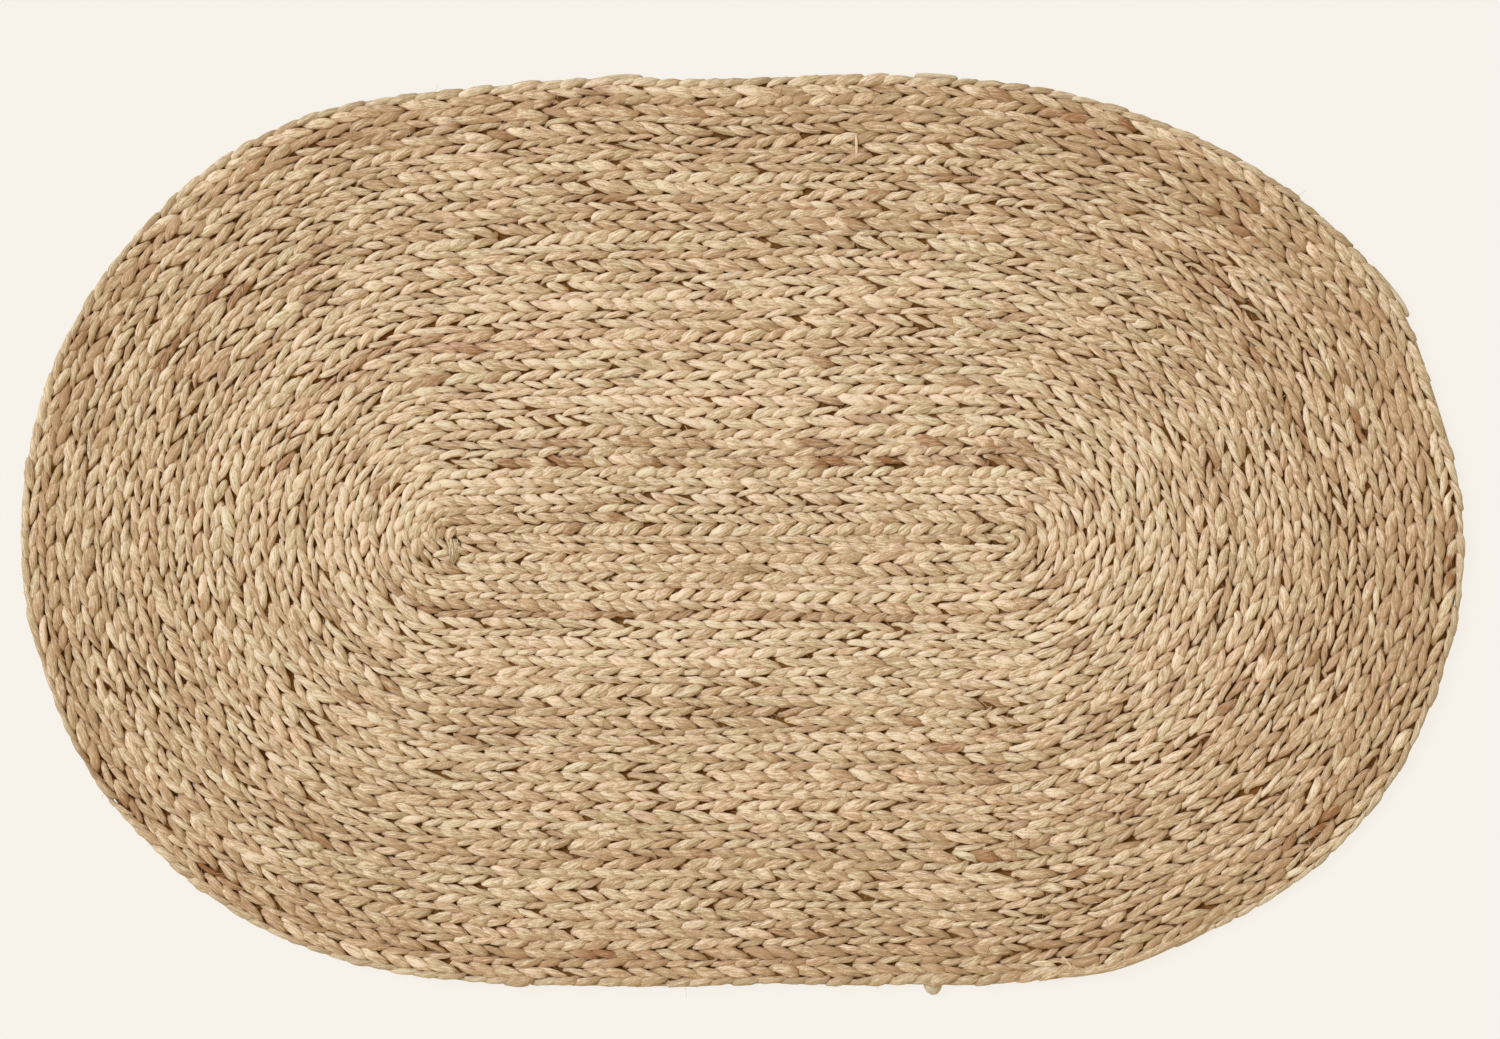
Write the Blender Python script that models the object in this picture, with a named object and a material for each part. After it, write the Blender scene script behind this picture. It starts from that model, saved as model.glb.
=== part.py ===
"""Oval doormat: one long three-strand plait of jute, wound flat round a straight core and sewn edge to edge.

The whole mat is one solid. Its underside is flat. On top, each turn of the plait stands up as a rounded
ridge, with a groove along the seam to its neighbour. The plait starts at the left end of the core, runs
clockwise seen from above, and thins out to nothing against the turn inside it, at the lower right.

Metres, +Z up, +X along the core. The origin is under the middle of the mat, on the surface it lies on.
"""

import math

import bmesh
import bpy
import numpy as np

# ---- Driving sizes ----------------------------------------------------------------------------------
CORE_LENGTH = 0.310          # straight middle of the coil, between the centres of its two ends
PLAIT_WIDTH = 0.01064        # one turn of the plait, from seam to seam
FULL_TURNS = 23              # turns that go all the way round, before the last top row and its tapered end
TAPER_START = 0.66           # share of the last end bend after which the plait thins out

THICKNESS = 0.0080           # crown of a ridge above the surface
SEAM_HEIGHT = 0.0054         # groove between two turns
RIM_HEIGHT = 0.0040          # widest line of the outer edge
RIM_UNDERCUT = 0.0022        # how far the outer edge rounds in under its widest line
SHOULDER = 0.27              # where a ridge's flat crown starts, as a share of the plait's width
THIN_END_HEIGHT = 0.0062     # crown at the very end of the plait

STRAIGHT_STEPS = 12          # steps along each straight side, in each turn
BEND_STEPS = 26              # steps round each end, in each turn

# How tightly the turns lie, going round the mat: the plait's mean width there. The first column counts
# 0 to 1 along the back straight, 1 to 2 round the right end, 2 to 3 along the front and 3 to 4 round the left.
WINDING = (
    # way, width in millimetres
    (0.00, 10.50),
    (0.15, 10.66),
    (0.33, 10.79),
    (0.45, 10.72),
    (0.67, 10.82),
    (0.85, 10.79),
    (1.00, 10.63),
    (1.09, 10.38),
    (1.17, 10.38),
    (1.25, 10.47),
    (1.33, 10.58),
    (1.39, 10.38),
    (1.43, 10.38),
    (1.47, 10.46),
    (1.54, 10.47),
    (1.60, 10.42),
    (1.75, 10.42),
    (1.85, 10.30),
    (1.95, 10.50),
    (2.06, 10.66),
    (2.17, 10.60),
    (2.40, 10.64),
    (2.70, 10.68),
    (2.92, 10.62),
    (3.08, 10.38),
    (3.25, 10.23),
    (3.45, 10.17),
    (3.68, 10.22),
    (3.88, 10.45),
)

STRAW = (0.50, 0.36, 0.20, 1.0)
ROUGHNESS = 0.85

# ---- Steps in one turn ------------------------------------------------------------------------------
HALF_TURN = STRAIGHT_STEPS + BEND_STEPS
TURN = 2 * HALF_TURN
LAST_TOP_ROW = FULL_TURNS * TURN                   # step at which the last top row begins
TAPER_BEND = LAST_TOP_ROW + STRAIGHT_STEPS         # step at which the last end bend begins
LAST_STEP = LAST_TOP_ROW + HALF_TURN               # step at which the plait has thinned to nothing
MERGE = 0.00005


def mean_width(way):
    """The plait's mean width at a place round the mat: a smooth closed curve through WINDING's rows."""
    table = np.array(WINDING)
    ways = np.concatenate([table[-2:, 0] - 4, table[:, 0], table[:2, 0] + 4])
    widths = np.concatenate([table[-2:, 1], table[:, 1], table[:2, 1]]) / 1000
    slopes = np.gradient(widths, ways)
    row = np.clip(np.searchsorted(ways, way, side="right") - 1, 0, len(ways) - 2)
    gap = ways[row + 1] - ways[row]
    t = (way - ways[row]) / gap
    start = (1 + 2 * t) * (1 - t) ** 2 * widths[row] + t * (1 - t) ** 2 * gap * slopes[row]
    end = t * t * (3 - 2 * t) * widths[row + 1] - t * t * (1 - t) * gap * slopes[row + 1]
    return start + end


def way_round(step):
    """Place round the mat, 0 to 4, of a step of the coil."""
    step = np.asarray(step) % TURN
    half, along = np.divmod(step, HALF_TURN)
    straight = np.minimum(along / STRAIGHT_STEPS, 1)
    bend = np.maximum(along - STRAIGHT_STEPS, 0) / BEND_STEPS
    return 2 * half + straight + bend


def place(step, turns_out):
    """Plan position of a point of the coil, as an array of x, y.

    Straight sides are offset from the core line. The right end's bends are arcs about the core's right end,
    and the left end's are arcs about a point half a plait behind its left end, so that each turn arrives one
    plait further out. turns_out counts plait widths from the core line."""
    way = way_round(step)
    reach = turns_out * mean_width(way)
    right = CORE_LENGTH / 2
    side = np.where(way <= 1, 1, -1)
    along = np.where(way <= 1, way, 3 - way)
    x = -right + along * CORE_LENGTH
    y = side * reach

    round_right = (way > 1) & (way < 2)
    angle = (way - 1) * math.pi
    x = np.where(round_right, right + reach * np.sin(angle), x)
    y = np.where(round_right, reach * np.cos(angle), y)

    round_left = way > 3
    angle = (way - 3) * math.pi
    reach = reach + mean_width(way) / 2
    x = np.where(round_left, -right - reach * np.sin(angle), x)
    y = np.where(round_left, PLAIT_WIDTH / 2 - reach * np.cos(angle), y)
    return np.stack([x, y], axis=-1)


def plait_share(step):
    """How much of its full width the plait has: all of it, until it thins out evenly in the last end bend."""
    bend = (step - TAPER_BEND) / BEND_STEPS
    return np.clip((1 - bend) / (1 - TAPER_START), 0, 1)


def coil_points():
    """The coil's points, four to a step: inner seam, two shoulders of the ridge, and outer seam or rim.

    The outer seam of one turn is the inner seam of the next, so the same place comes out of both and the two
    points are merged afterwards."""
    step = np.arange(LAST_STEP + 1)
    inner_turns = step // TURN
    share = plait_share(step)
    on_rim = step >= LAST_STEP - TURN

    crown = THIN_END_HEIGHT + (THICKNESS - THIN_END_HEIGHT) * share
    inner_height = np.full(step.shape, SEAM_HEIGHT)
    inner_height[-1] = RIM_HEIGHT
    heights = (inner_height, crown, crown, np.where(on_rim, RIM_HEIGHT, SEAM_HEIGHT))
    lanes = []
    for across, height in zip((0, SHOULDER, 1 - SHOULDER, 1), heights):
        height = np.where(share > 0, height, RIM_HEIGHT)
        lanes.append(np.column_stack([place(step, inner_turns + across * share), height]))
    return np.stack(lanes, axis=1)


def rim_undercut(rim):
    """The rim's points moved inwards by the undercut and down to the surface, square to the outline."""
    tangent = np.roll(rim[:, :2], -1, axis=0) - np.roll(rim[:, :2], 1, axis=0)
    tangent /= np.linalg.norm(tangent, axis=1, keepdims=True)
    inwards = np.column_stack([tangent[:, 1], -tangent[:, 0]])
    return np.column_stack([rim[:, :2] + inwards * RIM_UNDERCUT, np.zeros(len(rim))])


def build_coil():
    """The mat as one closed mesh: ridged top, rounded rim and flat underside."""
    lanes = coil_points()
    rim = lanes[LAST_STEP - TURN:LAST_STEP, 3]
    foot = rim_undercut(rim)
    points = np.concatenate([lanes.reshape(-1, 3), foot])
    middle = (rim.min(axis=0) + rim.max(axis=0)) / 2
    points[:, :2] -= middle[:2]

    mesh = bmesh.new()
    verts = [mesh.verts.new(point) for point in points.tolist()]

    def lane(step, across):
        return verts[step * 4 + across]

    for step in range(LAST_STEP):
        for across in range(3):
            corners = (lane(step, across), lane(step, across + 1), lane(step + 1, across + 1),
                       lane(step + 1, across))
            mesh.faces.new(corners)

    # The plait's cut start, closed against the seam that bends round it.
    seam = [lane(step, 0) for step in range(TURN, TURN - BEND_STEPS - 1, -1)]
    middle_step = BEND_STEPS // 2
    for first, second in zip(seam[:middle_step], seam[1:middle_step + 1]):
        mesh.faces.new((lane(0, 2), first, second))
    for first, second in zip(seam[middle_step:-1], seam[middle_step + 1:]):
        mesh.faces.new((lane(0, 1), first, second))
    mesh.faces.new((lane(0, 1), lane(0, 2), seam[middle_step]))

    feet = verts[-TURN:]
    rim_verts = [lane(step, 3) for step in range(LAST_STEP - TURN, LAST_STEP)]
    for here in range(TURN):
        after = (here + 1) % TURN
        mesh.faces.new((rim_verts[here], feet[here], feet[after], rim_verts[after]))
    mesh.faces.new(feet)

    bmesh.ops.remove_doubles(mesh, verts=mesh.verts, dist=MERGE)
    bmesh.ops.dissolve_degenerate(mesh, edges=mesh.edges, dist=MERGE)
    bmesh.ops.recalc_face_normals(mesh, faces=mesh.faces)
    return mesh


def jute_material():
    """Plain sun-dried jute: straw coloured and dull."""
    material = bpy.data.materials.new("jute")
    material.use_nodes = True
    shader = material.node_tree.nodes["Principled BSDF"]
    shader.inputs["Base Color"].default_value = STRAW
    shader.inputs["Roughness"].default_value = ROUGHNESS
    shader.inputs["Metallic"].default_value = 0.0
    return material


def main():
    for thing in list(bpy.data.objects):
        bpy.data.objects.remove(thing, do_unlink=True)

    coil = build_coil()
    data = bpy.data.meshes.new("coiled_plait")
    coil.to_mesh(data)
    coil.free()
    data.materials.append(jute_material())
    data.shade_smooth()
    data.set_sharp_from_angle(angle=math.radians(60))
    mat = bpy.data.objects.new("coiled_plait", data)
    bpy.context.scene.collection.objects.link(mat)


main()
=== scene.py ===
"""Oval doormat of sun-dried jute: one long three-strand plait, coiled flat round a straight core and sewn.

The script is laid out as an add-on and run as a script. Each operator works out one group of pieces with
numpy and puts it into the scene: the ground, the plait's strands, its start, the rim, the loose fibres and
the stage.
"""

import math

import bpy
import numpy as np
from bpy.props import FloatProperty, FloatVectorProperty, IntProperty, PointerProperty
from bpy.types import Operator, Panel, PropertyGroup
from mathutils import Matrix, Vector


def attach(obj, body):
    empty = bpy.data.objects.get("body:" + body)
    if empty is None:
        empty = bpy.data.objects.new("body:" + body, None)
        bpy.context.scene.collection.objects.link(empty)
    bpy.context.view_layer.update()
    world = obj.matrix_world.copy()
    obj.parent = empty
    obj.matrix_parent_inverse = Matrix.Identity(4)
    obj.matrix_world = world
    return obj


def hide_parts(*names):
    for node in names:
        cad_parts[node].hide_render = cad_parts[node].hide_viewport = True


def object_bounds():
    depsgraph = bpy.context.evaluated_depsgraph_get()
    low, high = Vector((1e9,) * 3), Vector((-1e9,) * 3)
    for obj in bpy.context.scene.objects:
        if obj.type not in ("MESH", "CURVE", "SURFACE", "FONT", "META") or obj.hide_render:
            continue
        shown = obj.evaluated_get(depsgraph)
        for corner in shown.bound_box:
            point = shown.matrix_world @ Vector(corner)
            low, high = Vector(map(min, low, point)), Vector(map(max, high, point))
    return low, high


bl_info = {
    "name": "Coiled jute doormat",
    "version": (1, 0, 0),
    "blender": (4, 5, 0),
    "location": "3D View > Sidebar > Jute mat",
    "description": "Plaits, coils and finishes an oval jute doormat on its packed model",
    "category": "Object",
}

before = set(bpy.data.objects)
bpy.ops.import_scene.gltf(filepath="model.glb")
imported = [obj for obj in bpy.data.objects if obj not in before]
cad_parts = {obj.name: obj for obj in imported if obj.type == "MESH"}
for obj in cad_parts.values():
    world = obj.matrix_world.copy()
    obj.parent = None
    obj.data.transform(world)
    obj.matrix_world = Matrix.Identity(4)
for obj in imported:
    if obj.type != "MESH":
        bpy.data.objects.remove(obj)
CAD_LOW, CAD_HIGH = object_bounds()
NODE = "coiled_plait"
JUTE = "jute_plaited_sun_dried"
MM = 0.001

# ---- The coil, as the solid has it ----
CORE_LENGTH = 0.310  # straight middle of the coil, between the centres of its two ends
PLAIT_WIDTH = 0.01064  # one turn of the plait, from seam to seam
FULL_TURNS = 23  # whole turns before the last back row and its thinned end bend
TAPER_START = 0.66  # share of the last end bend after which the plait thins out
LAST_TURN = FULL_TURNS + 0.5
PLAIT_START = 0.0005  # the strands begin this part of a turn behind the core's left end
GROUND_START = -0.0045  # the ground begins this part of a turn before it
COIL_SAMPLES = 12001  # places at which the coil's length is summed
RIM_SAMPLES = 2001  # places at which its outline is read

# Some tables are measured on a real mat, not designed. A program worked out most rows of EDGE_STRAY, BROWNED
# and PARTED and all of HANKS and LIGHT_FALL_OFF. WINDING and LAYS were typed in from such measurements.

# The plait's mean width going round the mat: 0 to 1 is the back straight, 1 to 2 the right end, 2 to 3 the
# front and 3 to 4 the left end.
WINDING = (
    # way, width in millimetres
    (0, 10.5), (0.15, 10.66), (0.33, 10.79), (0.45, 10.72), (0.67, 10.82), (0.85, 10.79), (1, 10.63),
    (1.09, 10.38), (1.17, 10.38), (1.25, 10.47), (1.33, 10.58), (1.39, 10.38), (1.43, 10.38), (1.47, 10.46),
    (1.54, 10.47), (1.6, 10.42), (1.75, 10.42), (1.85, 10.3), (1.95, 10.5), (2.06, 10.66), (2.17, 10.6),
    (2.4, 10.64), (2.7, 10.68), (2.92, 10.62), (3.08, 10.38), (3.25, 10.23), (3.45, 10.17), (3.68, 10.22),
    (3.88, 10.45),
)

# How far the outermost turn's edge stands out from an even winding, where lobes bulge or the braid steps in.
EDGE_STRAY = (
    # way, millimetres
    (0.04, -0.4), (0.18, 0.1), (0.22, -0.5), (0.32, -0.4), (0.37, -1.5), (0.44, 0), (0.5, 0.5),
    (0.62, -0.2), (0.68, 0.3), (0.73, -0.4), (0.79, 0.1), (0.86, -1.3), (0.97, 0.3), (1.03, -0.7),
    (1.26, -0.4), (1.31, -1), (1.44, 1.5), (1.5, 0.4), (1.54, 1), (1.77, 0.3), (1.83, 0.8),
    (1.99, -0.9), (2, 0.2), (2.08, 0.2), (2.27, 1.9), (2.39, -0.2), (2.48, -0.6), (2.55, 0.7),
    (2.89, -0.5), (2.98, 0.3), (3.06, -0.1), (3.19, 0.4), (3.24, -0.3), (3.3, 1.1), (3.38, -1.5),
    (3.46, -0.1), (3.55, -0.8), (3.64, 0), (3.77, -1.2), (3.84, -0.6), (3.96, -2.2),
)

# How long one lay of the plait is: tight in the first turns, then even, and loose in the last one.
LAYS = (
    # turn, lay in millimetres
    (0, 28.6), (3.5, 29.5), (5.5, 34.6), (21.5, 35.8), (23, 39),
)

# How pale or dark the plait is along its length.
HANKS = (
    # turn, how much paler than the mean, in steps of sRGB
    (0.12, 1), (0.62, 6), (0.88, 0), (1.38, 2), (1.88, 10), (2.88, 15), (3.38, 5), (3.88, 0),
    (4.12, 2), (4.62, 14), (5.12, 6), (5.38, 13), (5.62, 15), (6.38, 10), (7.38, 15), (7.62, 6),
    (7.88, 3), (8.12, 11), (8.62, 3), (9.12, 5), (9.88, -2), (10.38, 7), (10.88, 10), (11.12, 2),
    (11.38, -1), (12.12, 9), (12.62, 4), (13.12, 7), (13.88, -2), (14.38, 3), (15.38, 2), (15.88, -5),
    (16.62, -9), (17.12, -3), (17.62, -6), (18.12, 0), (18.88, -2), (19.12, -7), (19.62, -2), (20.12, -8),
    (20.88, -2), (21.62, -18), (21.88, -19), (22.62, -12), (22.88, -3), (23.38, 1),
)

# Painted light: how much paler the mat is than its mean at the middle of each of its four parts,
# paler at the back and the left end and darker at the right end, as light falls off across it.
LIGHT_FALL_OFF = (
    # way, steps of sRGB
    (0.5, 2.9), (1.5, -3.1), (2.5, -0.4), (3.5, 2.1),
)

# Browner lobes. The side is 1 towards the rim and -1 towards the core.
BROWNED = (
    # turn at its start, side, length in millimetres, depth
    (1.061, -1, 18, 0.67), (2.056, -1, 82, 0.36), (3.537, 1, 98, 0.67), (3.643, 1, 26, 0.55),
    (3.668, 1, 22, 1.2), (3.694, 1, 30, 0.6), (3.73, 1, 26, 0.95), (3.756, 1, 32, 0.85),
    (4.021, -1, 18, 1.1), (4.043, -1, 18, 1.1), (4.09, -1, 18, 1), (4.135, -1, 18, 1.1),
    (4.162, -1, 21, 1), (4.189, -1, 18, 1.1), (4.208, -1, 27, 0.95), (4.236, -1, 36, 0.7),
    (4.237, 1, 26, 0.9), (4.909, -1, 18, 0.79), (4.97, -1, 26, 0.48), (5.022, -1, 18, 0.7),
    (5.04, -1, 21, 0.8), (5.076, -1, 18, 0.8), (5.104, -1, 18, 1), (5.155, -1, 18, 0.8),
    (5.181, -1, 18, 0.9), (5.21, -1, 18, 0.7), (5.245, -1, 18, 1), (7.8, -1, 50, 0.48),
    (7.886, 1, 18, 0.35), (8.6, 1, 42, 0.36), (9.942, 1, 42, 0.6), (10.445, 1, 42, 0.48),
    (10.523, 1, 18, 0.74), (10.717, -1, 50, 0.5), (11.327, 1, 106, 0.36), (11.503, 1, 18, 0.57),
    (12.31, 1, 18, 0.45), (12.842, -1, 18, 0.9), (13.931, 1, 82, 0.35), (14.399, 1, 18, 0.9),
    (14.416, -1, 26, 0.95), (14.437, 1, 18, 1.12), (14.954, -1, 18, 0.69), (15.332, -1, 18, 0.79),
    (15.462, -1, 34, 0.52), (15.462, 1, 18, 0.81), (15.489, 1, 18, 0.67), (16.317, -1, 50, 0.93),
    (16.342, 1, 26, 1.02), (16.938, 1, 18, 0.86), (17.05, 1, 34, 0.79), (17.302, 1, 34, 0.74),
    (17.775, -1, 34, 0.74), (17.914, 1, 66, 0.98), (18.037, 1, 26, 0.62), (18.217, 1, 26, 0.71),
    (18.622, -1, 18, 0.55), (19.345, 1, 18, 1.17), (20.292, 1, 50, 0.57), (20.792, 1, 34, 0.69),
    (20.984, 1, 58, 0.57), (21.481, -1, 42, 0.76), (21.677, -1, 18, 0.83), (21.793, 1, 26, 1.17),
    (21.974, -1, 34, 0.57), (22.043, 1, 34, 0.81), (22.255, 1, 26, 0.83), (22.428, -1, 26, 1.05),
    (22.787, -1, 18, 0.81), (22.816, -1, 18, 0.93), (22.827, 1, 18, 0.88), (22.909, -1, 26, 0.64),
    (23.057, -1, 18, 0.67), (23.186, -1, 42, 0.43), (23.237, -1, 18, 1.02), (23.27, -1, 18, 1.02),
    (23.377, -1, 18, 1.05),
)

# The larger gaps, where the strands part round a hole and the dark inside shows.
PARTED = (
    # x, y and mean radius in millimetres
    (-166, -8.4, 3), (-157, -8.6, 1.2), (175, -239, 2), (199, -237, 1.7), (-359, -64, 2),
    (-350, -86, 2.1), (-350, 88, 1.8), (-338, 110, 2.2), (-321, 98, 1.7), (-305, 81, 2),
    (-296, -187, 2.3), (-286, 103, 1.6), (-248, 54, 2.6), (-236, -7, 2.3), (-232, 150, 1.7),
    (-193, 23, 1.5), (-159, 41, 2.1), (-138, 166, 2.1), (-104, 39, 2.6), (-103, 237, 2.5),
    (-73, -28, 2.5), (-69, -50, 2.7), (-52, 19, 2.1), (1, -38, 1.7), (36, 186, 2.4),
    (86, 37, 2.1), (111, -41, 2.1), (137, -98, 1.7), (138, 38, 2.2), (140, -5, 2.1),
    (153, 154, 1.6), (158, 179, 2.1), (166, -215, 2.8), (196, -210, 2), (228, -48, 1.9),
    (247, -124, 1.8), (250, 146, 2.1), (256, -116, 2), (266, -30, 1.9), (270, -92, 2.4),
    (283, 119, 3), (293, -108, 1.8), (297, -81, 1.7), (300, 74, 1.8), (309, -182, 1.8),
    (311, 56, 2), (313, -171, 2.5), (313, -82, 2), (323, -80, 2.1), (325, -128, 2),
    (326, -67, 1.7), (329, -91, 1.6), (333, 16, 2.1), (344, 54, 2), (349, -127, 2.5),
    (374, -28, 2.3), (392, 21, 1.9), (392, -17, 2),
)

# The plait's start, wound on itself so tightly that its lobes lie every way: each one as a spindle through
# three places in the plan, in millimetres.
START_LOBES = (
    # half width, height of its middle line, tone, start, middle and end as x, y
    (2.3, 6.2, -0.6, ((-170.3, 5), (-167.8, 10), (-161.9, 13.3))),
    (2.3, 6.1, 0.9, ((-165.6, 7.2), (-157.2, 10.8), (-146.6, 12.6))),
    (1.7, 6.1, 1.9, ((-165.4, 8), (-159.8, 5.4), (-152.6, 3.8))),
    (2.2, 6.2, -0.4, ((-176.6, 3.6), (-175.3, 7.7), (-170.6, 11.6))),
    (2, 6.1, -0.2, ((-177.3, -2.8), (-176, 1.8), (-173, 5.6))),
    (1.4, 6.1, 0.3, ((-173.9, -3.4), (-172.8, 1.2), (-170, 4.6))),
    (2.3, 6.1, 0.2, ((-178.2, -0.2), (-174.9, -5.7), (-169, -10.8))),
    (1.7, 6.1, 0.4, ((-173.4, -2.4), (-170.4, -7.4), (-167.4, -10.8))),
    (1.9, 6.2, -0.6, ((-171.9, -14.5), (-166, -12.5), (-160.4, -12))),
    (1.5, 6.2, 0.1, ((-177, -9.6), (-174, -13.3), (-171, -17.3))),
    (1.5, 7, 0.1, ((-171.8, -4.6), (-171.3, -1), (-169.4, 2.5))),
    (1.6, 7.2, -0.2, ((-170.6, 0.8), (-168.2, 3.7), (-164.2, 4.9))),
    (1.5, 6.9, 0.2, ((-166.6, 5), (-163.8, 4), (-161.2, 1.8))),
    (1.3, 7.1, 0.2, ((-168.2, 0.6), (-170.2, -2.4), (-169.2, -6.6))),
    (2.2, 6.7, 1.2, ((-163.6, 2.4), (-166, -1.2), (-166.4, -5.6))),
    (2.7, 7, 0.6, ((-156.4, 1.6), (-161.2, -1), (-163.4, -6.4))),
    (2.1, 6.9, 0.2, ((-160.4, 0.2), (-153.6, 0.9), (-146, 0.6))),
    (1.6, 6.4, 0.4, ((-159.4, -2.6), (-155, -1.3), (-150.4, -1.8))),
    (2.1, 6.6, -0.2, ((-157.6, -3.2), (-152.9, -5), (-147.2, -6.9))),
    (2.2, 6.9, -3.4, ((-180, 7), (-177, 12.6), (-170.8, 18.6))),
)

# Single strands that lie over the plait: its long smooth end, strands laid along the rim, a yarn end that
# sticks out and one stray straw. Positions are in millimetres.
LOOSE_ENDS = (
    # half width, half height, tone, grey, points as x, y, z
    (2.3, 2, 1.1, 0.1, ((171, -244.6, 5.6), (182.4, -245.4, 6.2), (205.1, -241.8, 6.2),
        (223.8, -235.2, 6.2), (238.4, -228.8, 6), (251.7, -222.6, 5.4), (262, -214.6, 4.2))),
    (2.4, 2, -0.9, 0.2, ((157, -248, 4.6), (163, -245.2, 6.2), (170, -243.8, 6.4),
        (178, -245.2, 5.8))),
    (1.1, 1, -0.8, 0.1, ((177.6, -236.2, 6.6), (181.3, -240, 7.2), (184.6, -243.9, 6.6))),
    (2.3, 1.7, 3.6, 0, ((183, -240, 6.3), (190.4, -239.2, 7.2), (199, -237.4, 6.2))),
    (1.5, 1.4, -0.4, 0.9, ((-98, 244.6, 3.4), (-84, 248.8, 4), (-68, 251.4, 4.2),
        (-54.6, 251.2, 3.6))),
    (1.5, 1.4, -0.2, 0.9, ((349, 147, 3.4), (359.6, 135, 4), (366, 126.4, 4.2),
        (370, 118.6, 3.6))),
    (1.5, 1.4, -0.2, 0.9, ((240, -230.6, 3.2), (248.6, -226.6, 4), (255, -222.8, 3.6))),
    (1.5, 1.4, -0.2, 0.9, ((96, 252.2, 3.4), (108, 252, 4.2), (120, 250.6, 3.6))),
    (4.9, 2.5, -1.4, 1, ((105.3, -242, 3.6), (105.6, -247.5, 3.4), (106.3, -252.5, 3),
        (107, -257.6, 2.6))),
    (0.7, 0.4, -2.2, 0, ((63.4, 219.4, 7.4), (63.7, 213.5, 8.3), (63.9, 207.6, 7.4))),
)

SEED = 41


def linear(hex_colour):
    """A hex sRGB colour as linear red, green and blue."""
    parts = [int(hex_colour[i:i + 2], 16) / 255 for i in (1, 3, 5)]
    return tuple(p / 12.92 if p <= 0.04045 else ((p + 0.055) / 1.055) ** 2.4 for p in parts)


# ---- Settings a user would change ----
class JuteMatSettings(PropertyGroup):
    """Sizes and colours of the jute plait."""

    lift: FloatProperty(
        name="Lift", description="How far a strand rises and dips about the plait's middle",
        default=0.0021, unit="LENGTH")
    strand_width: FloatProperty(
        name="Strand width", description="Mean width of one strand",
        default=0.0040, unit="LENGTH")
    roll: FloatProperty(
        name="Roll", description="How far the middle line wanders as the plait rolls, in plait widths",
        default=0.09)
    slant: FloatProperty(
        name="Slant", description="How far the middle line lies towards the outer edge, in plait widths",
        default=0.05)
    strand_height: FloatProperty(
        name="Strand height", description="Height of one strand",
        default=0.0036, unit="LENGTH")
    parting: FloatProperty(
        name="Parting", description="How far strands give way round a hole, in its radii", default=0.42)
    fibre_count: IntProperty(
        name="Loose fibres", description="Number of fine stray fibres", default=5200)
    pale: FloatVectorProperty(
        name="Pale jute", description="Bleached straw", subtype="COLOR", size=3, default=linear("#f6dfbe"))
    straw: FloatVectorProperty(
        name="Straw jute", description="Most of the strands", subtype="COLOR", size=3,
        default=linear("#d5b891"))
    tan: FloatVectorProperty(
        name="Tan jute", description="Darker strands", subtype="COLOR", size=3, default=linear("#b8946e"))
    brown: FloatVectorProperty(
        name="Brown jute", description="Bark left on the bast", subtype="COLOR", size=3,
        default=linear("#9c673a"))
    # Grey jute: painted shade on the rim's outer edge and the strands laid along it, where they turn down;
    # and the start's tuft a little greyer in its own colour.
    grey: FloatVectorProperty(
        name="Grey jute", description="Weathered outer edge", subtype="COLOR", size=3,
        default=linear("#c2b697"))


class JuteStageSettings(PropertyGroup):
    """Floor, light and camera."""

    floor: FloatVectorProperty(
        name="Floor", description="Pale warm floor", subtype="COLOR", size=3, default=linear("#f7f3eb"))
    glow: FloatProperty(
        name="Glow", description="Share of the floor's light that comes through it from below", default=0.92)
    key_power: FloatProperty(
        name="Key light", description="Strength of the wide soft light from the back left", default=2.07)
    sky: FloatProperty(
        name="Sky", description="Strength of the even light from all round", default=0.568)
    sky_colour: FloatVectorProperty(
        name="Sky colour", description="Warm light thrown back by the room", subtype="COLOR", size=3,
        default=(1.055, 0.94, 0.675))
    key_colour: FloatVectorProperty(
        name="Key colour", description="Daylight tube behind a diffuser", subtype="COLOR", size=3,
        default=(0.875, 1.03, 1.33))
    focal_length: FloatProperty(
        name="Focal length", description="Camera lens, in millimetres", default=85.0)
    view_width: FloatProperty(
        name="View width", description="Width that the camera takes in at the mat", default=0.8316,
        unit="LENGTH")


# ---- Coil geometry ----
def cubic(t, low, high, slope_low, slope_high, gap=1.0):
    """A cubic from low to high as t goes from 0 to 1 over a gap, with the given slopes at its two ends."""
    start = (1 + 2 * t) * (1 - t) ** 2 * low + t * (1 - t) ** 2 * gap * slope_low
    end = t * t * (3 - 2 * t) * high - t * t * (1 - t) * gap * slope_high
    return start + end


def round_mat(table, turn):
    """Looks up a table of ways and values at turns of the coil, in straight lines from row to row."""
    return np.interp(4 * (turn % 1), *np.array(table).T, period=4)


def mean_width(way):
    """The plait's mean width at a place round the mat: a smooth closed cubic through WINDING's rows."""
    table = np.array(WINDING)
    ways = np.concatenate([table[-2:, 0] - 4, table[:, 0], table[:2, 0] + 4])
    widths = np.concatenate([table[-2:, 1], table[:, 1], table[:2, 1]]) * MM
    slopes = np.gradient(widths, ways)
    row = np.clip(np.searchsorted(ways, way, side="right") - 1, 0, len(ways) - 2)
    gap = ways[row + 1] - ways[row]
    t = (way - ways[row]) / gap
    return cubic(t, widths[row], widths[row + 1], slopes[row], slopes[row + 1], gap)


def eased_noise(rng, count, spacing):
    """Random values of unit spread at knots, joined by smooth steps. spacing is in samples."""
    knots = rng.normal(size=int(count / spacing) + 3)
    place = np.arange(count) / spacing
    low = place.astype(int)
    t = place - low
    t = t * t * (3 - 2 * t)
    return knots[low] * (1 - t) + knots[low + 1] * t


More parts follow.
